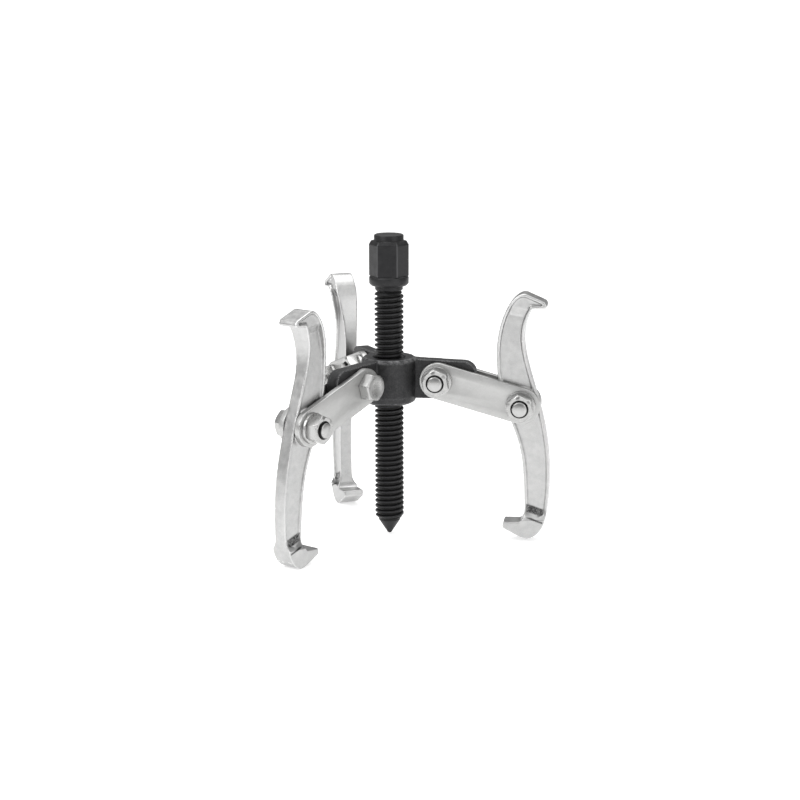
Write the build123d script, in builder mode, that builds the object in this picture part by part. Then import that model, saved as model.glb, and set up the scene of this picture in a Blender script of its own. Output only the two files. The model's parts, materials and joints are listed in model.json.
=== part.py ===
"""Three-jaw gear puller with reversible jaws, straddle links and a threaded forcing screw.

Millimetres, +Z up along the forcing screw.  The origin is the screw's centre point, and the
puller stands on the lower hooks of its three jaws with each link hanging at its REST_DROOP.
"""
from build123d import *
import math
import os

# ---------------------------------------------------------------- driving dimensions
ARM_ANGLES = {"a": 0.0, "b": 120.0, "c": 240.0}      # arm directions about +Z, degrees
REST_DROOP = {"a": 15.3, "b": 17.2, "c": 17.8}       # links point this far below level
JAW_TILT = {"a": -1.2, "b": 3.0, "c": -4.5}          # jaw lean at rest, top outwards positive

# forcing screw, measured upwards from its centre point
SCREW_D = 14.0
THREAD_PITCH = 2.5
THREAD_ROOT_D = 11.0
THREAD_CREST_W = 0.55
THREAD_BASE_W = 2.0
POINT_FLAT_D = 1.7
POINT_BASE_D = 10.4
POINT_H = 6.8
THREAD_START = 8.0
NECK_Z = 120.3
NECK_D = 13.4
COLLAR_Z = 123.0
COLLAR_D = 19.0
HEX_Z = 127.8
HEX_AF = 16.7
HEX_TOP_Z = 144.8
HEX_SHOULDER_H = 1.9                                 # faceted chamfer up to the cap
HEX_TURN = 3.5                                       # rest angle of the hexagon's corners
CAP_D = 14.2
SCREW_TOP_Z = 147.6

# yoke
PIVOT_Z = 78.0                                       # height of the inner bolts
INNER_PIVOT_R = 24.0                                 # inner bolt axis from the screw axis
SPARE_HOLE_R = 36.0                                  # second hole, for a wider reach
BOSS_D = 27.0
BOSS_BOTTOM_Z = 65.6
BOSS_TOP_Z = 88.4
LUG_T = 6.4
LUG_BOTTOM_Z = 68.6
LUG_TOP_Z = 88.2                                     # at the boss
LUG_TIP_TOP_Z = 87.0
LUG_TIP_R = 42.6
LUG_ROOT_R = 9.0                                     # start of a lug, inside the boss
LUG_CORNER_R = 6.0
YOKE_BORE_D = SCREW_D + 0.15

# links and their fasteners
LINK_PITCH = 42.0
STRAP_W = 17.6
STRAP_SHIFT = 0.4                                    # strap outline past its holes, outwards
STRAP_T = 3.0
SIDE_GAP = 0.2                                       # between a strap and the lug or jaw
BOLT_D = 8.0
PIVOT_HOLE_D = BOLT_D + 0.15
STRAP_HOLE_D = BOLT_D + 0.3
NUT_AF = 12.0
NUT_H = 5.7
NUT_BORE_D = BOLT_D + 0.05
HEAD_H = 5.3
WASHER_D = 14.6
WASHER_T = 1.6
BOLT_END = 1.4                                       # bolt standing proud of its nut
NUT_TURN = {"a": -6.0, "b": 15.0, "c": 15.0}
HEAD_TURN = 30.0
CORNER_CUT = 0.15                                    # taken off nut and head corners
# +1 puts the nut on the side that faces clockwise from the arm, seen from above
NUT_SIDE = {
    "a": {"inner": 1, "outer": 1},
    "b": {"inner": -1, "outer": -1},
    "c": {"inner": 1, "outer": -1},
}

# jaws: side view about the outer bolt, x outwards and y up
HOOK_W = 10.8                                        # width of both hooks
LOWER_HOOK_W = 10.4                                  # below the ridge at the foot of the stem
STEM_T = LUG_T
WEB_T = 4.8                                          # between the recessed panels
RIM_W = 1.5                                          # flat left round a panel
PIVOT_LAND_R = 8.6                                   # full thickness round the bolt
OUTER_EDGE = [
    (4.9, 44.9),
    (1.8, 32.0),
    (4.0, 18.0),
    (8.9, 0.0),
    (13.0, -23.5),
    (13.3, -37.0),
    (11.6, -54.5),
]
INNER_EDGE = [
    (-1.6, -57.8),
    (0.2, -55.8),
    (1.0, -51.0),
    (0.9, -42.0),
    (-0.8, -22.0),
    (-4.6, -9.5),
    (-9.3, 4.0),
    (-11.6, 20.0),
    (-10.2, 36.0),
    (-6.9, 45.6),
]
UPPER_HOOK = [(3.1, 53.8), (11.9, 49.8), (12.9, 47.8), (12.4, 46.8), (6.0, 46.8)]
UPPER_HOOK_CROWN = (-3.2, 51.2)
LOWER_HOOK = [(-1.0, -65.4), (-9.3, -61.0), (-9.8, -60.0), (-9.3, -57.8)]
HEEL = [(8.2, -62.6), (1.9, -66.2)]
PANEL_CROWN = [(2.9, 52.3), (10.6, 48.9), (10.6, 48.1), (5.0, 48.1)]
# depth from mid-plane against height along the stem
LOWER_FLARE = [(-57.6, LOWER_HOOK_W / 2), (-56.6, HOOK_W / 2), (-50.5, STEM_T / 2)]
UPPER_FLARE = [(15.0, STEM_T / 2), (31.0, 3.8), (40.0, 4.8), (45.5, HOOK_W / 2)]
LOWER_RAMP_AT = (6.0, -50.5)
LOWER_RAMP_FALL = 20.0                               # its lines run down outwards, degrees
LOWER_RAMP = [(0.0, WEB_T / 2), (-3.4, 3.2), (-5.2, 5.0), (-5.2, HOOK_W)]
UPPER_RAMP_AT = (-2.0, 43.5)
UPPER_RAMP_FALL = 10.0
UPPER_RAMP = [(0.0, WEB_T / 2), (3.6, 4.2), (16.0, 4.6)]

STRAP_IN = LUG_T / 2 + SIDE_GAP                      # inner face of a strap from mid-plane
STRAP_OUT = STRAP_IN + STRAP_T

os.makedirs("parts", exist_ok=True)


def save(part, node):
    part.label = node
    export_step(part, f"parts/{node}.step")


def arm_plane(angle, radius=0.0, height=0.0, tilt=0.0, offset=0.0):
    """Plane whose x is radial (turned down by tilt), y is up and z is the bolt direction."""
    a = math.radians(angle)
    t = math.radians(tilt)
    across = Vector(math.sin(a), -math.cos(a), 0)
    along = Vector(math.cos(t) * math.cos(a), math.cos(t) * math.sin(a), -math.sin(t))
    origin = Vector(radius * math.cos(a), radius * math.sin(a), height) + across * offset
    return Plane(origin=origin, x_dir=along, z_dir=across)


def thread_ridge(bottom_z, top_z):
    """Helical ridge of the thread, one ruled face per flank and turn, sunk into the core."""
    sunk = 0.25
    inner_r = THREAD_ROOT_D / 2 - sunk
    outer_r = SCREW_D / 2
    flare = sunk * (THREAD_BASE_W - THREAD_CREST_W) / (SCREW_D - THREAD_ROOT_D)
    corners = [
        (inner_r, -THREAD_BASE_W / 2 - flare),
        (outer_r, -THREAD_CREST_W / 2),
        (outer_r, THREAD_CREST_W / 2),
        (inner_r, THREAD_BASE_W / 2 + flare),
    ]
    turns = math.ceil((top_z - bottom_z) / THREAD_PITCH)
    faces = []
    for turn in range(turns):
        start = bottom_z + turn * THREAD_PITCH
        edges = [
            Helix(THREAD_PITCH, THREAD_PITCH, r, center=(0, 0, start + dz), mode=Mode.PRIVATE)
            for r, dz in corners
        ]
        for lower, upper in zip(edges, edges[1:] + edges[:1]):
            faces.append(Face.make_surface_from_curves(lower, upper))
    for z in (bottom_z, bottom_z + turns * THREAD_PITCH):
        outline = Wire.make_polygon([Vector(r, 0, z + dz) for r, dz in corners], close=True)
        faces.append(Face(outline))
    return Solid(Shell(faces))


def make_forcing_screw():
    ridge = thread_ridge(THREAD_START - THREAD_PITCH, NECK_Z)
    root_r = THREAD_ROOT_D / 2
    run_out = 2.0
    with BuildPart() as envelope:
        with BuildSketch(Plane.XZ):
            with BuildLine():
                Polyline(
                    (0, THREAD_START - 1.0),
                    (root_r - 0.3, THREAD_START - 1.0),
                    (root_r + run_out, THREAD_START - 0.7 + run_out),
                    (root_r + run_out, NECK_Z - run_out),
                    (root_r - 0.3, NECK_Z),
                    (0, NECK_Z),
                    close=True,
                )
            make_face()
        revolve(axis=Axis.Z)
    with BuildPart() as screw:
        with BuildSketch(Plane.XZ):
            with BuildLine():
                Polyline(
                    (0, 0),
                    (POINT_FLAT_D / 2, 0),
                    (POINT_BASE_D / 2, POINT_H),
                    (root_r, POINT_H + 0.3),
                    (root_r, NECK_Z),
                    (NECK_D / 2, NECK_Z + 0.6),
                    (NECK_D / 2, COLLAR_Z),
                    (COLLAR_D / 2 - 0.9, COLLAR_Z),
                    (COLLAR_D / 2, COLLAR_Z + 0.9),
                    (COLLAR_D / 2, HEX_Z - 0.5),
                    (COLLAR_D / 2 - 0.5, HEX_Z),
                    (0, HEX_Z),
                    close=True,
                )
            make_face()
        revolve(axis=Axis.Z)
        with BuildSketch(Plane.XY.offset(HEX_Z - 0.5)):
            RegularPolygon(HEX_AF / 2, 6, major_radius=False, rotation=HEX_TURN)
        extrude(amount=HEX_TOP_Z - HEX_SHOULDER_H - HEX_Z + 0.5)
        with BuildSketch(Plane.XY.offset(HEX_TOP_Z - HEX_SHOULDER_H)):
            RegularPolygon(HEX_AF / 2, 6, major_radius=False, rotation=HEX_TURN)
        with BuildSketch(Plane.XY.offset(HEX_TOP_Z)):
            RegularPolygon(CAP_D / 2, 6, major_radius=False, rotation=HEX_TURN)
        loft()
        chamfer_r = HEX_AF / math.sqrt(3) - CORNER_CUT
        with BuildSketch(Plane.XY.offset(HEX_Z)):
            Circle(chamfer_r + 1)
            Circle(chamfer_r, mode=Mode.SUBTRACT)
        extrude(amount=HEX_TOP_Z - HEX_Z, mode=Mode.SUBTRACT)
        with BuildSketch(Plane.XY.offset(HEX_TOP_Z - 0.5)):
            Circle(CAP_D / 2)
        extrude(amount=SCREW_TOP_Z - HEX_TOP_Z + 0.5)
        chamfer(screw.edges().filter_by(GeomType.CIRCLE).group_by(Axis.Z)[-1], 0.5)
        add(ridge & envelope.part)
    save(screw.part, "forcing_screw")


def make_yoke():
    boss_r = BOSS_D / 2
    with BuildPart() as yoke:
        with BuildSketch(Plane.XZ):
            with BuildLine():
                Polyline(
                    (0, BOSS_BOTTOM_Z),
                    (boss_r - 3.0, BOSS_BOTTOM_Z),
                    (boss_r - 0.8, BOSS_BOTTOM_Z + 1.2),
                    (boss_r, BOSS_BOTTOM_Z + 4.0),
                    (boss_r, BOSS_TOP_Z - 1.4),
                    (boss_r - 1.4, BOSS_TOP_Z),
                    (0, BOSS_TOP_Z),
                    close=True,
                )
            make_face()
        revolve(axis=Axis.Z)
        for angle in ARM_ANGLES.values():
            with BuildSketch(arm_plane(angle)) as lug:
                Polygon(
                    (LUG_ROOT_R, LUG_BOTTOM_Z),
                    (LUG_TIP_R, LUG_BOTTOM_Z),
                    (LUG_TIP_R, LUG_TIP_TOP_Z),
                    (LUG_ROOT_R, LUG_TOP_Z),
                    align=None,
                )
                fillet(lug.vertices().group_by(lambda v: v.X ** 2 + v.Y ** 2)[-1], LUG_CORNER_R)
            extrude(amount=LUG_T / 2, both=True)
        with BuildSketch(Plane.XZ):
            with BuildLine():
                countersink_r = YOKE_BORE_D / 2 + 1.2
                Polyline(
                    (0, BOSS_TOP_Z + 1),
                    (countersink_r, BOSS_TOP_Z + 1),
                    (countersink_r, BOSS_TOP_Z),
                    (YOKE_BORE_D / 2, BOSS_TOP_Z - 1.2),
                    (YOKE_BORE_D / 2, BOSS_BOTTOM_Z - 1),
                    (0, BOSS_BOTTOM_Z - 1),
                    close=True,
                )
            make_face()
        revolve(axis=Axis.Z, mode=Mode.SUBTRACT)
        for angle in ARM_ANGLES.values():
            for radius in (INNER_PIVOT_R, SPARE_HOLE_R):
                with BuildSketch(arm_plane(angle, radius, PIVOT_Z)):
                    Circle(PIVOT_HOLE_D / 2)
                extrude(amount=LUG_T, both=True, mode=Mode.SUBTRACT)
    save(yoke.part, "yoke")


def pivot_plane(arm, which, offset=0.0):
    """Plane across the inner or outer bolt of an arm, x along its link."""
    droop = REST_DROOP[arm]
    radius = INNER_PIVOT_R
    height = PIVOT_Z
    if which == "outer":
        radius += LINK_PITCH * math.cos(math.radians(droop))
        height -= LINK_PITCH * math.sin(math.radians(droop))
    return arm_plane(ARM_ANGLES[arm], radius, height, droop, offset)


def make_strap(arm, number):
    start = STRAP_IN if number == 1 else -STRAP_OUT
    with BuildPart() as strap:
        with BuildSketch(pivot_plane(arm, "inner", start)):
            with Locations((LINK_PITCH / 2 + STRAP_SHIFT, 0)):
                SlotCenterToCenter(LINK_PITCH, STRAP_W)
            with Locations((0, 0), (LINK_PITCH, 0)):
                Circle(STRAP_HOLE_D / 2, mode=Mode.SUBTRACT)
        extrude(amount=STRAP_T)
        sides = strap.faces().filter_by(GeomType.PLANE).sort_by(SortBy.AREA)[-2:]
        chamfer(sides.edges(), 0.25)
    save(strap.part, f"strap_{arm}_{number}")


def make_fasteners(arm, which):
    side = NUT_SIDE[arm][which]
    nut_seat = STRAP_OUT + WASHER_T
    bolt_end = nut_seat + NUT_H + BOLT_END

    def level(depth, thickness):
        """Plane for a slab that starts at depth on the nut side and goes outwards."""
        low = depth if side > 0 else -(depth + thickness)
        return pivot_plane(arm, which, low)

    with BuildPart() as washer:
        with BuildSketch(level(STRAP_OUT, WASHER_T)):
            Circle(WASHER_D / 2)
            Circle(STRAP_HOLE_D / 2, mode=Mode.SUBTRACT)
        extrude(amount=WASHER_T)
        chamfer(washer.edges().filter_by(GeomType.CIRCLE).sort_by(SortBy.LENGTH)[-2:], 0.25)
    save(washer.part, f"{which}_washer_{arm}")

    with BuildPart() as nut:
        with BuildSketch(level(nut_seat, NUT_H)):
            RegularPolygon(NUT_AF / 2, 6, major_radius=False, rotation=NUT_TURN[arm])
            Circle(NUT_BORE_D / 2, mode=Mode.SUBTRACT)
        extrude(amount=NUT_H)
        with BuildSketch(level(nut_seat, NUT_H)):
            Circle(NUT_AF / math.sqrt(3) - CORNER_CUT)
        extrude(amount=NUT_H, mode=Mode.INTERSECT)
    save(nut.part, f"{which}_nut_{arm}")

    with BuildPart() as bolt:
        with BuildSketch(level(-STRAP_OUT - HEAD_H, HEAD_H)):
            RegularPolygon(NUT_AF / 2, 6, major_radius=False, rotation=HEAD_TURN)
        extrude(amount=HEAD_H)
        with BuildSketch(level(-STRAP_OUT - HEAD_H, HEAD_H)):
            Circle(NUT_AF / math.sqrt(3) - CORNER_CUT)
        extrude(amount=HEAD_H, mode=Mode.INTERSECT)
        with BuildSketch(level(-STRAP_OUT, bolt_end + STRAP_OUT)):
            Circle(BOLT_D / 2)
        extrude(amount=bolt_end + STRAP_OUT)
    save(bolt.part, f"{which}_bolt_{arm}")


def jaw_plane(arm):
    """Plane through the middle of a jaw at its outer bolt, x outwards and y up the jaw."""
    pivot = pivot_plane(arm, "outer")
    angle = math.radians(ARM_ANGLES[arm])
    lean = math.radians(JAW_TILT[arm])
    outwards = Vector(math.cos(angle), math.sin(angle), 0)
    x_dir = outwards * math.cos(lean) - Vector(0, 0, math.sin(lean))
    return Plane(origin=pivot.origin, x_dir=x_dir, z_dir=pivot.z_dir)


def depth_plane(side, at, fall):
    """Plane whose x is depth from the jaw's mid-plane and whose y climbs the jaw, turned by fall."""
    t = math.radians(fall)
    along = side.x_dir * math.cos(t) - side.y_dir * math.sin(t)
    return Plane(origin=side.from_local_coords(Vector(*at, 0)), x_dir=side.z_dir, z_dir=-along)


def jaw_panel(side, s):
    """Recess in one side of a jaw (s is 1 or -1), ramped at both ends, clear of the bolt's land."""
    far = s * HOOK_W
    with BuildPart() as panel:
        with BuildSketch(side.offset(s * WEB_T / 2)):
            with BuildLine():
                outer_rim = Spline(*[(x - RIM_W, y) for x, y in OUTER_EDGE])
                inner_rim = Spline(*[(x + RIM_W, y) for x, y in INNER_EDGE])
                Line(outer_rim @ 1, inner_rim @ 0)
                crown = Spline(
                    inner_rim @ 1,
                    PANEL_CROWN[0],
                    tangents=(inner_rim % 1, Vector(1, -0.4)),
                )
                Polyline(crown @ 1, *PANEL_CROWN[1:], outer_rim @ 0)
            make_face()
        extrude(amount=far)
        ends = (
            (LOWER_RAMP_AT, LOWER_RAMP_FALL, LOWER_RAMP, -30.0),
            (UPPER_RAMP_AT, UPPER_RAMP_FALL, UPPER_RAMP, 16.0),
        )
        for at, fall, ramp, end in ends:
            with BuildSketch(depth_plane(side, at, fall)):
                outline = [(s * depth, height) for height, depth in ramp]
                outline += [(s * ramp[-1][1], end), (0, end), (0, 0)]
                Polygon(*outline, align=None)
            extrude(amount=30, both=True, mode=Mode.SUBTRACT)
        with BuildSketch(side):
            Circle(PIVOT_LAND_R)
        extrude(amount=HOOK_W, both=True, mode=Mode.SUBTRACT)
    return panel.part


def make_jaw(arm):
    side = jaw_plane(arm)
    with BuildPart() as jaw:
        with BuildSketch(side):
            with BuildLine():
                top = Line(UPPER_HOOK[0], UPPER_HOOK[1])
                Polyline(*UPPER_HOOK[1:], OUTER_EDGE[0])
                outer = Spline(*OUTER_EDGE)
                heel = Spline(outer @ 1, *HEEL, tangents=(outer % 1, (-1, -0.15)))
                Polyline(heel @ 1, *LOWER_HOOK, INNER_EDGE[0])
                inner = Spline(*INNER_EDGE)
                Spline(inner @ 1, UPPER_HOOK_CROWN, top @ 0, tangents=(inner % 1, top % 0))
            make_face()
        extrude(amount=HOOK_W / 2, both=True)
        for s in (1, -1):
            with BuildSketch(depth_plane(side, (0, 0), 0)):
                with BuildLine():
                    foot = [(s * depth, height) for height, depth in LOWER_FLARE]
                    neck = [(s * depth, height) for height, depth in UPPER_FLARE]
                    ridge = Line(foot[0], foot[1])
                    low = Spline(ridge @ 1, foot[2], tangents=((-s, 0.9), (0, 1)))
                    stem = Line(low @ 1, neck[0])
                    high = Spline(*neck, tangents=((0, 1), (s * 0.2, 1)))
                    end = (s * LOWER_HOOK_W / 2, -80)
                    Polyline(high @ 1, (s * HOOK_W, neck[-1][1]), (s * HOOK_W, -80), end, ridge @ 0)
                make_face()
            extrude(amount=25, both=True, mode=Mode.SUBTRACT)
            add(jaw_panel(side, s), mode=Mode.SUBTRACT)
        with BuildSketch(side):
            Circle(PIVOT_HOLE_D / 2)
        extrude(amount=HOOK_W, both=True, mode=Mode.SUBTRACT)
    save(jaw.part, f"jaw_{arm}")


if __name__ == "__main__":
    for arm in ARM_ANGLES:
        for which in ("inner", "outer"):
            make_fasteners(arm, which)
        for number in (1, 2):
            make_strap(arm, number)
        make_jaw(arm)
    make_yoke()
    make_forcing_screw()
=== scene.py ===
"""Looks of the three-jaw gear puller: plated jaws, straps and fasteners, blackened yoke and screw.

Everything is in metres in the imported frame: +Z along the forcing screw, its centre point at the
origin.  The frame's joints place the arms; sizes of the screw and fasteners follow the CAD.
"""
import json
import math

import bmesh
import bpy
from mathutils import Matrix, Vector, noise


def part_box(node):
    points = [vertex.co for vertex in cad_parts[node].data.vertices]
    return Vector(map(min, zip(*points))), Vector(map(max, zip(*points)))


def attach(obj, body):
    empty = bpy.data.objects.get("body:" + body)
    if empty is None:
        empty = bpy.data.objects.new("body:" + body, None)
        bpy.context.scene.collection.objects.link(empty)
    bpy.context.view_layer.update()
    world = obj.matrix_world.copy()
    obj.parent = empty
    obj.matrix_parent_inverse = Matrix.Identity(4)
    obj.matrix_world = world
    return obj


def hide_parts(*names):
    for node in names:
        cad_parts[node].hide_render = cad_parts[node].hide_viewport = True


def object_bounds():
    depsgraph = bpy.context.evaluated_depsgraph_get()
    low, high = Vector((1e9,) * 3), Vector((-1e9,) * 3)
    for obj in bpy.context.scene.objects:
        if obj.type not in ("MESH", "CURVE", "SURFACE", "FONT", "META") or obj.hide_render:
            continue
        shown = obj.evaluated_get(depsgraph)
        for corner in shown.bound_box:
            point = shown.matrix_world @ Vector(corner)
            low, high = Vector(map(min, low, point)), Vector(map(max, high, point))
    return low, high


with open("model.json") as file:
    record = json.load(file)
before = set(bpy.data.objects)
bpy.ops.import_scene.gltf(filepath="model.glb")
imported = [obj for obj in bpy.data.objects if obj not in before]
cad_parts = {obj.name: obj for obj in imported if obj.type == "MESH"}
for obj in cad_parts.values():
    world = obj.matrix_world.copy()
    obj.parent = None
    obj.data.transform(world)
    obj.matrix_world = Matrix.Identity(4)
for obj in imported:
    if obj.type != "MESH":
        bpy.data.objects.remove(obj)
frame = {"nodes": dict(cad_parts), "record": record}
cad_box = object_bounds()

MM = 0.001
ARMS = ("a", "b", "c")
JOINTS = {j["name"]: j for j in frame["record"]["behaviour"]["joints"]}

# forcing screw, heights above its centre point
SCREW_R = 7.0 * MM
THREAD_ROOT_R = 5.75 * MM
THREAD_PITCH = 2.5 * MM
THREAD_LOW = 7.6 * MM
THREAD_HIGH = 120.3 * MM
POINT_FLAT_R = 0.85 * MM
POINT_BASE_R = 5.3 * MM
POINT_H = 6.9 * MM
NECK_R = 6.7 * MM
COLLAR_LOW = 123.0 * MM
COLLAR_R = 9.5 * MM
HEX_LOW = 127.8 * MM
HEX_HIGH = 144.8 * MM
HEX_SHOULDER_H = 1.9 * MM
HEX_HALF_AF = 8.35 * MM
HEX_TURN = 3.5
CAP_R = 7.1 * MM
SCREW_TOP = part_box("forcing_screw")[1][2]

# yoke boss
BOSS_R = 13.5 * MM
BOSS_TOP = 88.4 * MM

# fasteners
BOLT_R = 4.0 * MM
BOLT_PITCH = 1.25 * MM
NUT_HALF_AF = 6.0 * MM
NUT_H = 5.7 * MM
HEAD_H = 5.3 * MM
WASHER_R = 7.3 * MM
WASHER_BORE_R = 4.2 * MM
WASHER_T = 1.6 * MM
STRAP_OUT = 6.4 * MM
BOLT_END = 1.4 * MM
NUT_TURN = {"a": -6.0, "b": 15.0, "c": 15.0}
HEAD_TURN = 30.0
NUT_SEAT = STRAP_OUT + WASHER_T
NUT_SIDE = {
    "a": {"inner": 1, "outer": 1},
    "b": {"inner": -1, "outer": -1},
    "c": {"inner": 1, "outer": -1},
}
CORNER_ROUND = 0.6 * MM

# jaws: lean at rest, and the ramp at the foot of each panel, about the outer bolt
JAW_TILT = {"a": -1.2, "b": 3.0, "c": -4.5}
RAMP_AT = (6.0 * MM, -50.5 * MM)
RAMP_FALL = 20.0
RAMP_SIDES = (2.0 * MM, 9.8 * MM)
# bands across the ramp where shade is painted: a broad band of painted shade and a thin painted
# shadow line at its outer edge
SHADE_BAND = (-3.4 * MM, -0.2 * MM)
LINE_BAND = (-6.2 * MM, -5.5 * MM)

# vertex attributes: a piece's own coordinates, and its marks, stored from 0 (scuffed bright with a
# painted highlight) by way of 0.5 (plain) to 1 (painted shade)
OWN_PLACE = "own_place"
MARKS = "marks"

# studio
BACKDROP = 1.3
# brightness of the room against height, 0 straight down, 0.5 level, 1 straight up
ROOM_TONES = [
    (0.0, 0.5),
    (0.49, 0.5),
    (0.53, 0.20),
    (0.62, 0.22),
    (0.76, 0.6),
    (0.86, 1.0),
    (1.0, 1.0),
]
FLOOR_TONE = 0.8
FLOOR_GLOW = 0.5

# camera: degrees turned about the screw, raised above level and rolled; metres away; lens and
# sensor in millimetres; how far the screw's axis at pivot height lies right of and above the middle
CAMERA_TURN = 8.6
CAMERA_RISE = 12.2
CAMERA_ROLL = 0.1
CAMERA_DISTANCE = 0.906
CAMERA_LENS = 84.15
CAMERA_SENSOR = 36.0
PIVOT_HEIGHT = JOINTS["link_swing_a"]["pos_m"][2]
AIM_OFFSET = (-5.2325 * MM, 11.0949 * MM)


# ---------------------------------------------------------------- small helpers
def unmarked(spot):
    """No mark at any spot. A marks function gives -1 for scuffed bright with a painted highlight to
    1 for painted shade.
    """
    return 0.0


def new_piece(name, verts, faces, material, body, stands_for, place=None, marks_at=unmarked):
    """A mesh piece in its own local frame, placed, shaded and riding on a CAD body."""
    mesh = bpy.data.meshes.new(name)
    mesh.from_pydata(verts, [], faces)
    tidy_mesh(mesh)
    return finish_piece(name, mesh, material, body, stands_for, place, 32.0, marks_at)


def tidy_mesh(mesh):
    work = bmesh.new()
    work.from_mesh(mesh)
    bmesh.ops.remove_doubles(work, verts=work.verts, dist=2e-6)
    bmesh.ops.dissolve_degenerate(work, edges=work.edges, dist=1e-7)
    bmesh.ops.recalc_face_normals(work, faces=work.faces)
    work.to_mesh(mesh)
    work.free()


def finish_piece(name, mesh, material, body, stands_for, place, sharp, marks_at=unmarked):
    """Shades, marks and places a mesh, bakes its rotation in and puts it on its CAD body."""
    mesh.materials.clear()
    mesh.materials.append(material)
    mesh.shade_smooth()
    if sharp:
        mesh.set_sharp_from_angle(angle=math.radians(sharp))
    spots = [vertex.co.copy() for vertex in mesh.vertices]
    own = mesh.attributes.new(OWN_PLACE, "FLOAT_VECTOR", "POINT")
    own.data.foreach_set("vector", [value for spot in spots for value in spot])
    marks = mesh.attributes.new(MARKS, "FLOAT", "POINT")
    marks.data.foreach_set("value", [0.5 + 0.5 * marks_at(spot) for spot in spots])
    place = place or Matrix.Identity(4)
    mesh.transform(place.to_3x3().to_4x4())
    piece = bpy.data.objects.new(name, mesh)
    bpy.context.scene.collection.objects.link(piece)
    piece.matrix_world = Matrix.Translation(place.translation)
    bpy.context.view_layer.update()
    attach(piece, body)
    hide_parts(*stands_for)
    return piece


def arm_matrix(arm, which):
    """Local frame at a pivot: x along the strap, y up, z along the bolt."""
    inner = JOINTS[f"link_swing_{arm}"]
    outer = JOINTS[f"jaw_swing_{arm}"]
    origin = Vector(inner["pos_m"] if which == "inner" else outer["pos_m"])
    across = Vector(inner["axis"]).normalized()
    along = (Vector(outer["pos_m"]) - Vector(inner["pos_m"])).normalized()
    up = across.cross(along)
    turn = Matrix((along, up, across)).transposed()
    return Matrix.Translation(origin) @ turn.to_4x4()


# ---------------------------------------------------------------- turned and hexagonal shapes
def hex_angles():
    """Angles of a ring, in degrees, closer together at the six corners."""
    half = [0.0, 0.9, 1.8, 2.6, 3.4, 6.0, 12.0, 20.0, 30.0]
    side = half + [60.0 - a for a in reversed(half[1:-1])]
    return [60.0 * k + a for k in range(6) for a in side]


ANGLES = hex_angles()


def hex_radius(angle, half_af):
    """Distance to a hexagon with rounded corners; a corner lies at angle 0."""
    away = min(angle % 60.0, 60.0 - angle % 60.0)
    phi = math.radians(away)
    centre = (half_af - CORNER_ROUND) / math.cos(math.radians(30))
    tangent = math.atan2(0.5 * CORNER_ROUND, centre + 0.866 * CORNER_ROUND)
    if phi <= tangent:
        return centre * math.cos(phi) + math.sqrt(CORNER_ROUND**2 - (centre * math.sin(phi)) ** 2)
    return half_af / math.cos(math.radians(30) - phi)


def circle(radius, height):
    return [(radius, height) for _ in ANGLES]


def hexagon(half_af, height, chamfer_r=None, slope=0.0):
    """Ring on a hexagon's sides; past chamfer_r it falls (or rises) by slope times the excess."""
    ring = []
    for angle in ANGLES:
        radius = hex_radius(angle, half_af)
        drop = 0.0 if chamfer_r is None else max(0.0, radius - chamfer_r) * slope
        ring.append((radius, height - drop))
    return ring


def skin(rings, turn=0.0):
    """Verts and side faces through rings of (radius, height)."""
    count = len(ANGLES)
    verts = []
    for ring in rings:
        for angle, (radius, height) in zip(ANGLES, ring):
            a = math.radians(angle + turn)
            verts.append((radius * math.cos(a), radius * math.sin(a), height))
    faces = []
    for level in range(len(rings) - 1):
        low = level * count
        high = low + count
        for k in range(count):
            nxt = (k + 1) % count
            faces.append((low + k, low + nxt, high + nxt, high + k))
    return verts, faces


def thread_rings(crest_r, root_r, pitch, low, high, points, envelope):
    """Rings that follow a right-hand helix between two heights, as a list of full rings.

    Ring j holds, for every angle, the point j of the helical sweep, so each ring climbs by one
    pitch in a turn; the last angle of ring j meets the first angle of ring j + points.
    """
    rings = []
    count = int(math.ceil((high - low) / pitch + 2)) * points
    for j in range(count):
        phase = (j % points) / points
        wave = 0.5 + 0.5 * math.cos(2 * math.pi * phase)
        wave = min(1.0, max(0.0, (wave - 0.14) / 0.66))
        wave = wave * wave * (3 - 2 * wave)
        radius = root_r + (crest_r - root_r) * wave
        ring = []
        for angle in ANGLES:
            height = low - pitch + pitch * (j / points + angle / 360.0)
            height = min(high, max(low, height))
            ring.append((min(radius, envelope(height)), height))
        rings.append(ring)
    return rings


def thread_faces(first, ring_count, points):
    """Faces between helical rings, with the seam stepped up by one turn of points."""
    count = len(ANGLES)
    faces = []
    for j in range(ring_count - 1):
        for k in range(count - 1):
            a = first + j * count + k
            faces.append((a, a + 1, a + 1 + count, a + count))
        if j + points + 1 < ring_count:
            a = first + j * count + count - 1
            b = first + (j + points) * count
            faces.append((a, b, b + count, a + count))
    return faces


def threaded(lower, thread, upper, points, turn=0.0):
    """Plain rings, a helical stretch and plain rings, unjoined, with a face at each far end."""
    verts, faces = [], []
    for rings, helical in ((lower, False), (thread, True), (upper, False)):
        first = len(verts)
        ring_verts, ring_faces = skin(rings, turn)
        verts += ring_verts
        if helical:
            faces += thread_faces(first, len(rings), points)
        else:
            faces += [tuple(first + v for v in face) for face in ring_faces]
    count = len(ANGLES)
    faces.append(tuple(reversed(range(count))))
    faces.append(tuple(range(len(verts) - count, len(verts))))
    return verts, faces


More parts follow.
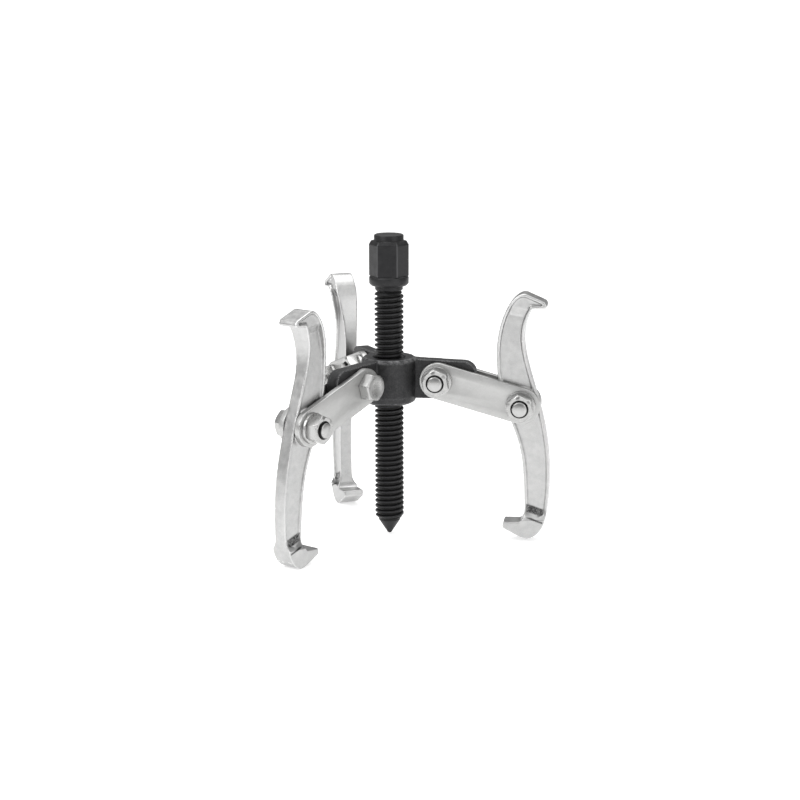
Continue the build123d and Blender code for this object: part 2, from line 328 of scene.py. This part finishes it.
def forcing_screw(material):
    """The screw from its centre point up: thread, neck, collar, hexagon and round cap."""
    points = 14

    def envelope(height):
        """Radius that the thread may reach, running out at both ends."""
        low = POINT_BASE_R + max(0.0, height - THREAD_LOW) * 1.0
        high = THREAD_ROOT_R + max(0.0, THREAD_HIGH - height) * 0.8
        return min(SCREW_R, low, high)

    lower = [
        circle(POINT_FLAT_R * 0.6, 0.0),
        circle(POINT_FLAT_R, 0.12 * MM),
        circle(POINT_BASE_R - 0.25 * MM, POINT_H - 0.35 * MM),
        circle(POINT_BASE_R, POINT_H),
        circle(POINT_BASE_R, THREAD_LOW),
    ]
    thread = thread_rings(
        SCREW_R, THREAD_ROOT_R, THREAD_PITCH, THREAD_LOW, THREAD_HIGH, points, envelope
    )
    cap_edge = 0.7 * MM
    upper = [
        circle(THREAD_ROOT_R, THREAD_HIGH),
        circle(NECK_R - 0.3 * MM, THREAD_HIGH + 0.5 * MM),
        circle(NECK_R, THREAD_HIGH + 0.9 * MM),
        circle(NECK_R, COLLAR_LOW - 0.3 * MM),
        circle(NECK_R + 0.3 * MM, COLLAR_LOW),
        circle(COLLAR_R - 1.0 * MM, COLLAR_LOW + 0.1 * MM),
        circle(COLLAR_R - 0.2 * MM, COLLAR_LOW + 0.9 * MM),
        circle(COLLAR_R, COLLAR_LOW + 1.3 * MM),
        circle(COLLAR_R, HEX_LOW - 0.9 * MM),
        circle(COLLAR_R - 0.25 * MM, HEX_LOW - 0.35 * MM),
        circle(COLLAR_R - 0.6 * MM, HEX_LOW - 0.1 * MM),
        hexagon(HEX_HALF_AF, HEX_LOW),
        hexagon(HEX_HALF_AF, HEX_LOW + 0.3 * MM),
        hexagon(HEX_HALF_AF, HEX_HIGH - HEX_SHOULDER_H - 0.5 * MM),
        hexagon(HEX_HALF_AF, HEX_HIGH - HEX_SHOULDER_H - 0.15 * MM),
        hexagon(HEX_HALF_AF - 0.12 * MM, HEX_HIGH - HEX_SHOULDER_H + 0.1 * MM),
        hexagon(CAP_R + 0.35 * MM, HEX_HIGH - 0.25 * MM),
        circle(CAP_R + 0.1 * MM, HEX_HIGH - 0.05 * MM),
        circle(CAP_R, HEX_HIGH + 0.25 * MM),
        circle(CAP_R, SCREW_TOP - cap_edge),
        circle(CAP_R - 0.2 * MM, SCREW_TOP - 0.25 * MM),
        circle(CAP_R - cap_edge, SCREW_TOP),
    ]
    verts, faces = threaded(lower, thread, upper, points, HEX_TURN)

    def marks_at(spot):
        """Painted shade in the thread grooves, and the hexagon's corners scuffed bright with a
        painted highlight.
        """
        radius = math.hypot(spot.x, spot.y)
        if THREAD_LOW < spot.z < THREAD_HIGH:
            return max(0.0, min(1.0, (THREAD_ROOT_R + 0.7 * MM - radius) / (0.6 * MM)))
        angle = (math.degrees(math.atan2(spot.y, spot.x)) - HEX_TURN) % 60.0
        at_corner = min(angle, 60.0 - angle) < 2.0
        return -0.8 if at_corner and HEX_LOW < spot.z < HEX_HIGH - 0.5 * MM else 0.0

    stands_for = ["forcing_screw"]
    return new_piece(
        "forcing_screw_turned", verts, faces, material, "screw", stands_for, None, marks_at
    )


def hex_nut(name, material, body, node, place):
    """Nut from z = 0 to NUT_H with chamfered corners and a countersunk bore, with painted shade
    inside.
    """
    chamfer_r = NUT_HALF_AF * 0.985
    bore = BOLT_R + 0.12 * MM
    mouth = BOLT_R + 0.35 * MM
    rings = [
        circle(bore, 0.8 * MM),
        circle(mouth, 0.0),
        circle(chamfer_r - 0.1 * MM, 0.0),
        hexagon(NUT_HALF_AF - 0.1 * MM, 0.1 * MM, chamfer_r, -0.55),
        hexagon(NUT_HALF_AF, 0.25 * MM, chamfer_r, -0.55),
        hexagon(NUT_HALF_AF, NUT_H - 0.25 * MM, chamfer_r, 0.55),
        hexagon(NUT_HALF_AF - 0.1 * MM, NUT_H - 0.1 * MM, chamfer_r, 0.55),
        circle(chamfer_r - 0.1 * MM, NUT_H),
        circle(mouth, NUT_H),
        circle(bore, NUT_H - 0.8 * MM),
        circle(bore, 0.8 * MM),
    ]
    verts, faces = skin(rings)

    def marks_at(spot):
        # painted shade in the bore
        return 1.0 if math.hypot(spot.x, spot.y) < bore + 0.05 * MM else 0.0

    return new_piece(name, verts, faces, material, body, [node], place, marks_at)


def washer(name, material, body, node, place):
    """Flat washer from z = 0 to WASHER_T with a rounded outer edge."""
    edge = 0.35 * MM
    rings = [
        circle(WASHER_BORE_R, 0.2 * MM),
        circle(WASHER_BORE_R + 0.2 * MM, 0.0),
        circle(WASHER_R - 0.1 * MM, 0.0),
        circle(WASHER_R, 0.1 * MM),
        circle(WASHER_R, WASHER_T - edge),
        circle(WASHER_R - 0.12 * MM, WASHER_T - 0.1 * MM),
        circle(WASHER_R - edge, WASHER_T),
        circle(WASHER_BORE_R + 0.2 * MM, WASHER_T),
        circle(WASHER_BORE_R, WASHER_T - 0.2 * MM),
        circle(WASHER_BORE_R, 0.2 * MM),
    ]
    verts, faces = skin(rings)
    return new_piece(name, verts, faces, material, body, [node], place)


def hex_bolt(name, material, body, node, place):
    """Bolt whose head's underside is at z = -STRAP_OUT; its threaded end points along +z."""
    points = 10
    chamfer_r = NUT_HALF_AF * 0.97
    seat = -STRAP_OUT
    top = seat - HEAD_H
    end = NUT_SEAT + NUT_H + BOLT_END
    thread_low = NUT_SEAT
    thread_high = end - 0.45 * MM
    root_r = BOLT_R - 0.65 * MM

    def envelope(height):
        return min(BOLT_R, root_r + max(0.0, end - height) * 0.7)

    head = [
        circle(chamfer_r - 2.6 * MM, top + 0.12 * MM),
        circle(chamfer_r - 2.2 * MM, top),
        circle(chamfer_r - 0.15 * MM, top),
        hexagon(NUT_HALF_AF - 0.12 * MM, top + 0.12 * MM, chamfer_r, -0.6),
        hexagon(NUT_HALF_AF, top + 0.3 * MM, chamfer_r, -0.6),
        hexagon(NUT_HALF_AF, seat - 0.15 * MM),
        hexagon(NUT_HALF_AF - 0.15 * MM, seat),
        circle(BOLT_R + 0.4 * MM, seat),
        circle(BOLT_R, seat + 0.4 * MM),
        circle(BOLT_R, thread_low - 1.0 * MM),
        circle(root_r, thread_low),
    ]
    thread = thread_rings(BOLT_R, root_r, BOLT_PITCH, thread_low, thread_high, points, envelope)
    tail = [
        circle(envelope(thread_high), thread_high),
        circle(root_r, end - 0.1 * MM),
        circle(root_r - 0.2 * MM, end),
    ]
    verts, faces = threaded(head, thread, tail, points)

    def marks_at(spot):
        # painted shade along the threaded length
        return 1.0 if thread_low < spot.z < end - 0.2 * MM else 0.0

    return new_piece(name, verts, faces, material, body, [node], place, marks_at)


# ---------------------------------------------------------------- forged and stamped shapes
def carried_mesh(node, place):
    """Copy of a CAD node's mesh in the local frame of place."""
    mesh = frame["nodes"][node].data.copy()
    mesh.transform(place.inverted())
    return mesh


def applied(mesh, set_up):
    """The mesh after the modifiers that set_up puts on a scratch object."""
    scratch = bpy.data.objects.new("scratch", mesh)
    bpy.context.scene.collection.objects.link(scratch)
    set_up(scratch)
    graph = bpy.context.evaluated_depsgraph_get()
    result = bpy.data.meshes.new_from_object(scratch.evaluated_get(graph))
    bpy.data.objects.remove(scratch)
    return result


def forged(mesh, voxel, rounds, texture_size, texture_depth):
    """Softens the edges of a mesh and gives its surface the slight unevenness of a forging."""

    def set_up(obj):
        remesh = obj.modifiers.new("even_mesh", "REMESH")
        remesh.mode = "VOXEL"
        remesh.voxel_size = voxel
        smooth = obj.modifiers.new("soft_edges", "SMOOTH")
        smooth.factor = 0.5
        smooth.iterations = rounds

    result = applied(mesh, set_up)
    normals = [v.normal.copy() for v in result.vertices]
    for vertex, normal in zip(result.vertices, normals):
        height = noise.fractal(vertex.co / texture_size, 0.9, 2.1, 3)
        vertex.co += normal * ((height - 0.7) * texture_depth)
    return result


def between(value, low, high, soft):
    """1 from low to high, fading to 0 over soft beyond them."""
    rise = (value - low) / soft + 1.0
    fall = (high - value) / soft + 1.0
    return max(0.0, min(1.0, rise, fall))


def jaw_marks(spot):
    """Painted shade on the ramp at the foot of a panel, and a painted shadow line at the ramp's
    outer edge.
    """
    depth = abs(spot.z)
    fall = math.radians(RAMP_FALL)
    climb = (spot.x - RAMP_AT[0]) * math.sin(fall) + (spot.y - RAMP_AT[1]) * math.cos(fall)
    on_ramp = between(spot.x, *RAMP_SIDES, 0.3 * MM)
    ramp_shade = between(climb, *SHADE_BAND, 0.4 * MM) * between(depth, 0, 3.4 * MM, 0.2 * MM)
    line = between(climb, *LINE_BAND, 0.2 * MM) * between(depth, 4.6 * MM, 6 * MM, 0.3 * MM)
    grain = 0.5 + 0.5 * noise.noise(spot / (0.5 * MM))
    return on_ramp * max(ramp_shade * min(1.0, 0.15 + 1.1 * grain), 0.85 * line)


def jaw_matrix(arm):
    """Local frame of a jaw at its outer bolt: x outwards, y up the jaw, z along the bolt."""
    lean = math.radians(JAW_TILT[arm])
    across = Vector(JOINTS[f"jaw_swing_{arm}"]["axis"]).normalized()
    outwards = Vector((0, 0, 1)).cross(across)
    along = outwards * math.cos(lean) - Vector((0, 0, 1)) * math.sin(lean)
    turn = Matrix((along, across.cross(along), across)).transposed()
    return Matrix.Translation(JOINTS[f"jaw_swing_{arm}"]["pos_m"]) @ turn.to_4x4()


def jaw(arm, material):
    node = f"jaw_{arm}"
    place = jaw_matrix(arm)
    mesh = forged(carried_mesh(node, place), 0.34 * MM, 6, 3.0 * MM, 0.03 * MM)
    return finish_piece(f"jaw_forging_{arm}", mesh, material, node, [node], place, 0, jaw_marks)


def yoke_marks(spot):
    """Patchy painted highlight round the top edge of the boss."""
    radius = math.hypot(spot.x, spot.y)
    at_edge = between(radius, BOSS_R - 1.6 * MM, BOSS_R + 0.2 * MM, 0.4 * MM)
    at_edge *= between(spot.z, BOSS_TOP - 1.1 * MM, BOSS_TOP + 1 * MM, 0.4 * MM)
    patch = noise.noise(spot / (2.2 * MM)) + 0.6 * noise.noise(spot / (0.7 * MM))
    return -at_edge * max(0.0, min(1.0, 0.35 + 1.2 * patch))


def yoke(material):
    place = Matrix.Identity(4)
    mesh = forged(carried_mesh("yoke", place), 0.4 * MM, 5, 2.5 * MM, 0.06 * MM)
    return finish_piece("yoke_forging", mesh, material, "yoke", ["yoke"], place, 0, yoke_marks)


def strap(arm, number, material):
    """A strap's own CAD shape with its edges rolled over."""
    place = arm_matrix(arm, "inner")
    node = f"strap_{arm}_{number}"

    def set_up(obj):
        bevel = obj.modifiers.new("rolled_edge", "BEVEL")
        bevel.width = 0.22 * MM
        bevel.segments = 3
        bevel.limit_method = "ANGLE"
        bevel.angle_limit = math.radians(30)

    source = carried_mesh(node, place)
    work = bmesh.new()
    work.from_mesh(source)
    bmesh.ops.remove_doubles(work, verts=work.verts, dist=1e-6)
    bmesh.ops.dissolve_limit(
        work, angle_limit=math.radians(1), verts=work.verts, edges=work.edges
    )
    work.to_mesh(source)
    work.free()
    mesh = applied(source, set_up)
    return finish_piece(f"{node}_plate", mesh, material, f"link_{arm}", [node], place, 30.0)


# ---------------------------------------------------------------- materials
class Nodes:
    """Short calls for building a material's node tree."""

    def __init__(self, name):
        self.material = bpy.data.materials.new(name)
        self.material.use_nodes = True
        self.tree = self.material.node_tree
        self.shader = self.tree.nodes["Principled BSDF"]
        self.place = self.add("ShaderNodeAttribute", attribute_name=OWN_PLACE).outputs["Vector"]
        marks = self.add("ShaderNodeAttribute", attribute_name=MARKS).outputs["Fac"]
        # painted shade where the marks rise from 0.5 to 1; scuffing with a painted highlight where
        # they fall from 0.5 to 0
        self.painted_shade = self.ramp(marks, [(0.5, (0.0,)), (1.0, (1.0,))])
        self.scuffed_and_highlight = self.ramp(marks, [(0.0, (1.0,)), (0.5, (0.0,))])

    def add(self, kind, **settings):
        node = self.tree.nodes.new(kind)
        for key, value in settings.items():
            setattr(node, key, value)
        return node

    def link(self, out, into):
        self.tree.links.new(out, into)

    def stretch(self, factors):
        mapping = self.add("ShaderNodeMapping")
        mapping.inputs["Scale"].default_value = factors
        self.link(self.place, mapping.inputs["Vector"])
        return mapping.outputs["Vector"]

    def noise(self, size, detail=3.0, rough=0.55, where=None):
        """Noise whose features are about size metres across."""
        node = self.add("ShaderNodeTexNoise")
        node.inputs["Scale"].default_value = 1.0 / size
        node.inputs["Detail"].default_value = detail
        node.inputs["Roughness"].default_value = rough
        self.link(where or self.place, node.inputs["Vector"])
        return node.outputs["Fac"]

    def ramp(self, value, stops):
        node = self.add("ShaderNodeValToRGB")
        ramp = node.color_ramp
        while len(ramp.elements) < len(stops):
            ramp.elements.new(0.5)
        for element, (position, colour) in zip(ramp.elements, stops):
            element.position = position
            element.color = (*colour, 1.0) if len(colour) == 3 else (colour[0],) * 3 + (1.0,)
        self.link(value, node.inputs["Fac"])
        return node.outputs["Color"]

    def mix(self, fac, a, b, blend="MIX"):
        node = self.add("ShaderNodeMix", data_type="RGBA", blend_type=blend)
        for value, socket in ((fac, node.inputs[0]), (a, node.inputs[6]), (b, node.inputs[7])):
            if isinstance(value, (int, float)):
                socket.default_value = value
            elif isinstance(value, tuple):
                socket.default_value = (*value, 1.0)
            else:
                self.link(value, socket)
        return node.outputs[2]

    def bump(self, height, distance, strength=1.0, under=None):
        node = self.add("ShaderNodeBump")
        node.inputs["Distance"].default_value = distance
        node.inputs["Strength"].default_value = strength
        self.link(height, node.inputs["Height"])
        if under is not None:
            self.link(under, node.inputs["Normal"])
        return node.outputs["Normal"]

    def hollow_and_edge(self):
        """Geometry pointiness: under 0.5 in hollows, over 0.5 on edges."""
        return self.add("ShaderNodeNewGeometry").outputs["Pointiness"]


def plated(name, light, dark, rough, grain, pit_depth, wear_and_painted_light, streak=(1, 1, 1)):
    """Bright zinc plating: mottled tone, uneven gloss, fine pits, painted shade in hollows, painted
    highlights on edges and painted shade from the marks.
    """
    n = Nodes(name)
    n.shader.inputs["Metallic"].default_value = 1.0
    where = n.stretch(streak)
    cloud = n.noise(4.0 * MM, 4.0, 0.6, where)
    speck = n.noise(grain, 2.0, 0.7, where)
    tone = n.ramp(cloud, [(0.3, dark), (0.7, light)])
    tone = n.mix(0.35, tone, n.ramp(speck, [(0.35, dark), (0.65, light)]))
    # painted shade in hollows
    hollow = n.ramp(n.hollow_and_edge(), [(0.44, (0.1,)), (0.485, (1.0,))])
    tone = n.mix(wear_and_painted_light, tone, hollow, "MULTIPLY")
    # painted highlight along edges
    edge = n.ramp(n.hollow_and_edge(), [(0.515, (0.0,)), (0.56, (0.6 * wear_and_painted_light,))])
    tone = n.mix(edge, tone, (0.86, 0.86, 0.855))
    # painted shade from the marks
    tone = n.mix(n.painted_shade, tone, (0.02, 0.02, 0.02))
    n.link(tone, n.shader.inputs["Base Color"])
    low, high = rough
    n.link(n.ramp(cloud, [(0.3, (low,)), (0.7, (high,))]), n.shader.inputs["Roughness"])
    pits = n.bump(speck, pit_depth, 0.5)
    n.link(n.bump(cloud, 2.0 * pit_depth, 0.3, pits), n.shader.inputs["Normal"])
    return n.material


def blackened(name, base, light, rough, grain, depth, wear_and_painted_light):
    """Black oxide over steel: dusty mottling, dull gloss, painted shade in grooves, and edges
    scuffed brighter with a painted highlight.
    """
    n = Nodes(name)
    n.shader.inputs["Metallic"].default_value = 0.55
    n.shader.inputs["Specular IOR Level"].default_value = 0.45
    cloud = n.noise(3.5 * MM, 5.0, 0.65)
    speck = n.noise(grain, 3.0, 0.7)
    tone = n.ramp(cloud, [(0.32, base), (0.72, light)])
    tone = n.mix(0.4, tone, n.ramp(speck, [(0.4, base), (0.75, light)]))
    # edges scuffed brighter in patches, with a painted highlight
    edge = n.ramp(n.hollow_and_edge(), [(0.503, (0.0,)), (0.54, (1.0,))])
    patchy = n.mix(1.0, edge, n.ramp(speck, [(0.4, (0.1,)), (0.6, (wear_and_painted_light,))]), "MULTIPLY")
    tone = n.mix(patchy, tone, tuple(3.2 * c for c in light))
    # marked spots brightened: scuffing and painted highlight
    tone = n.mix(n.scuffed_and_highlight, tone, tuple(2.6 * c for c in light))
    # painted shade from the marks
    tone = n.mix(n.painted_shade, tone, (0.003, 0.003, 0.003))
    n.link(tone, n.shader.inputs["Base Color"])
    low, high = rough
    n.link(n.ramp(cloud, [(0.3, (low,)), (0.7, (high,))]), n.shader.inputs["Roughness"])
    n.link(n.bump(speck, depth, 0.6), n.shader.inputs["Normal"])
    return n.material


def paper():
    """Pale floor paper, slightly lit from within so that shadows stay faint."""
    n = Nodes("studio_floor_paper")
    n.place = n.add("ShaderNodeTexCoord").outputs["Object"]
    n.shader.inputs["Roughness"].default_value = 0.9
    n.shader.inputs["Emission Color"].default_value = (1.0, 1.0, 1.0, 1.0)
    n.shader.inputs["Emission Strength"].default_value = FLOOR_GLOW
    tone = n.ramp(n.noise(0.4, 2.0), [(0.3, (FLOOR_TONE,)), (0.7, (FLOOR_TONE + 0.02,))])
    n.link(tone, n.shader.inputs["Base Color"])
    return n.material


# ---------------------------------------------------------------- the puller
zinc_jaw = plated(
    "zinc_forging",
    light=(0.54, 0.54, 0.535),
    dark=(0.38, 0.38, 0.38),
    rough=(0.30, 0.42),
    grain=0.4 * MM,
    pit_depth=0.03 * MM,
    wear_and_painted_light=0.9,
)
zinc_strap = plated(
    "zinc_strip",
    light=(0.49, 0.49, 0.485),
    dark=(0.39, 0.39, 0.385),
    rough=(0.34, 0.42),
    grain=0.4 * MM,
    pit_depth=0.024 * MM,
    wear_and_painted_light=0.3,
    streak=(0.6, 1.0, 1.0),
)
zinc_bolt = plated(
    "zinc_fastener",
    light=(0.48, 0.48, 0.475),
    dark=(0.37, 0.37, 0.365),
    rough=(0.24, 0.34),
    grain=0.4 * MM,
    pit_depth=0.01 * MM,
    wear_and_painted_light=0.0,
)
black_screw = blackened(
    "black_oxide_cut",
    base=(0.012, 0.012, 0.013),
    light=(0.028, 0.028, 0.029),
    rough=(0.36, 0.52),
    grain=0.3 * MM,
    depth=0.02 * MM,
    wear_and_painted_light=0.0,
)
black_yoke = blackened(
    "black_oxide_forged",
    base=(0.013, 0.013, 0.014),
    light=(0.052, 0.052, 0.053),
    rough=(0.40, 0.58),
    grain=0.6 * MM,
    depth=0.09 * MM,
    wear_and_painted_light=1.0,
)

forcing_screw(black_screw)
yoke(black_yoke)
for arm in ARMS:
    jaw(arm, zinc_jaw)
    for number in (1, 2):
        strap(arm, number, zinc_strap)
    link = f"link_{arm}"
    for which in ("inner", "outer"):
        side = NUT_SIDE[arm][which]
        base = arm_matrix(arm, which)
        if side < 0:
            base = base @ Matrix.Rotation(math.pi, 4, "X")
        stack = (
            ("bolt", hex_bolt, 0.0, HEAD_TURN),
            ("washer", washer, STRAP_OUT, 0.0),
            ("nut", hex_nut, NUT_SEAT, NUT_TURN[arm]),
        )
        for kind, make, lift, turn in stack:
            node = f"{which}_{kind}_{arm}"
            place = base @ Matrix.Translation((0, 0, lift))
            place = place @ Matrix.Rotation(math.radians(turn), 4, "Z")
            piece = make(f"{node}_plated", zinc_bolt, link, node, place)


# ---------------------------------------------------------------- studio
def studio_air():
    """White backdrop; what the object mirrors is a grey room with a bright ceiling."""
    world = bpy.data.worlds.new("studio_air")
    world.use_nodes = True
    tree = world.node_tree
    backdrop = tree.nodes["Background"]
    backdrop.inputs["Color"].default_value = (1.0, 1.0, 1.0, 1.0)
    backdrop.inputs["Strength"].default_value = BACKDROP
    height = tree.nodes.new("ShaderNodeSeparateXYZ")
    tree.links.new(tree.nodes.new("ShaderNodeTexCoord").outputs["Generated"], height.inputs[0])
    shift = tree.nodes.new("ShaderNodeMapRange")
    shift.inputs["From Min"].default_value = -1.0
    tree.links.new(height.outputs["Z"], shift.inputs["Value"])
    ramp = tree.nodes.new("ShaderNodeValToRGB")
    while len(ramp.color_ramp.elements) < len(ROOM_TONES):
        ramp.color_ramp.elements.new(0.5)
    for element, (position, tone) in zip(ramp.color_ramp.elements, ROOM_TONES):
        element.position = position
        element.color = (tone, tone, tone, 1.0)
    tree.links.new(shift.outputs["Result"], ramp.inputs["Fac"])
    room = tree.nodes.new("ShaderNodeBackground")
    tree.links.new(ramp.outputs["Color"], room.inputs["Color"])
    pick = tree.nodes.new("ShaderNodeMixShader")
    tree.links.new(tree.nodes.new("ShaderNodeLightPath").outputs["Is Camera Ray"], pick.inputs[0])
    tree.links.new(room.outputs[0], pick.inputs[1])
    tree.links.new(backdrop.outputs[0], pick.inputs[2])
    tree.links.new(pick.outputs[0], tree.nodes["World Output"].inputs["Surface"])
    return world


def studio():
    """Plain pale floor, the room's air and four softboxes."""
    low = cad_box[0][2]
    work = bmesh.new()
    bmesh.ops.create_grid(work, x_segments=2, y_segments=2, size=3.0)
    mesh = bpy.data.meshes.new("studio_floor")
    work.to_mesh(mesh)
    work.free()
    floor = bpy.data.objects.new("studio_floor", mesh)
    floor.location = (0, 0, low)
    mesh.materials.append(paper())
    bpy.context.scene.collection.objects.link(floor)

    bpy.context.scene.world = studio_air()
    bpy.context.scene.view_settings.view_transform = "Standard"

    def softbox(name, place, size, power):
        data = bpy.data.lights.new(name, "AREA")
        data.shape = "RECTANGLE"
        data.size, data.size_y = size
        data.energy = power
        lamp = bpy.data.objects.new(name, data)
        lamp.location = place
        aim = Vector((0, 0, 0.075)) - Vector(place)
        lamp.rotation_euler = aim.to_track_quat("-Z", "Y").to_euler()
        bpy.context.scene.collection.objects.link(lamp)

    softbox("key_softbox", (-0.45, -0.5, 0.6), (0.5, 0.5), 3.0)
    softbox("fill_softbox", (0.6, -0.45, 0.35), (0.4, 0.6), 1.5)
    softbox("left_wall", (-1.0, -0.3, 0.35), (1.2, 0.9), 1.0)
    softbox("top_softbox", (0.0, 0.15, 0.8), (0.6, 0.6), 2.5)


def camera():
    """A camera that sees the screw's axis at pivot height a little off the picture's middle."""
    turn = math.radians(CAMERA_TURN)
    rise = math.radians(CAMERA_RISE)
    forward = Vector(
        (-math.sin(turn) * math.cos(rise), math.cos(turn) * math.cos(rise), -math.sin(rise))
    )
    right = Vector((math.cos(turn), math.sin(turn), 0))
    up = right.cross(forward)
    roll = math.radians(CAMERA_ROLL)
    tilted_right = right * math.cos(roll) - up * math.sin(roll)
    tilted_up = up * math.cos(roll) + right * math.sin(roll)
    aim = Vector((0, 0, PIVOT_HEIGHT))
    place = (
        aim
        - forward * CAMERA_DISTANCE
        - tilted_right * AIM_OFFSET[0]
        - tilted_up * AIM_OFFSET[1]
    )
    data = bpy.data.cameras.new("camera")
    data.sensor_width = CAMERA_SENSOR
    data.lens = CAMERA_LENS
    data.clip_start = 0.05
    data.clip_end = 20.0
    cam = bpy.data.objects.new("camera", data)
    basis = Matrix((tilted_right, tilted_up, -forward)).transposed()
    cam.matrix_world = Matrix.Translation(place) @ basis.to_4x4()
    bpy.context.scene.collection.objects.link(cam)
    bpy.context.scene.camera = cam


studio()
camera()
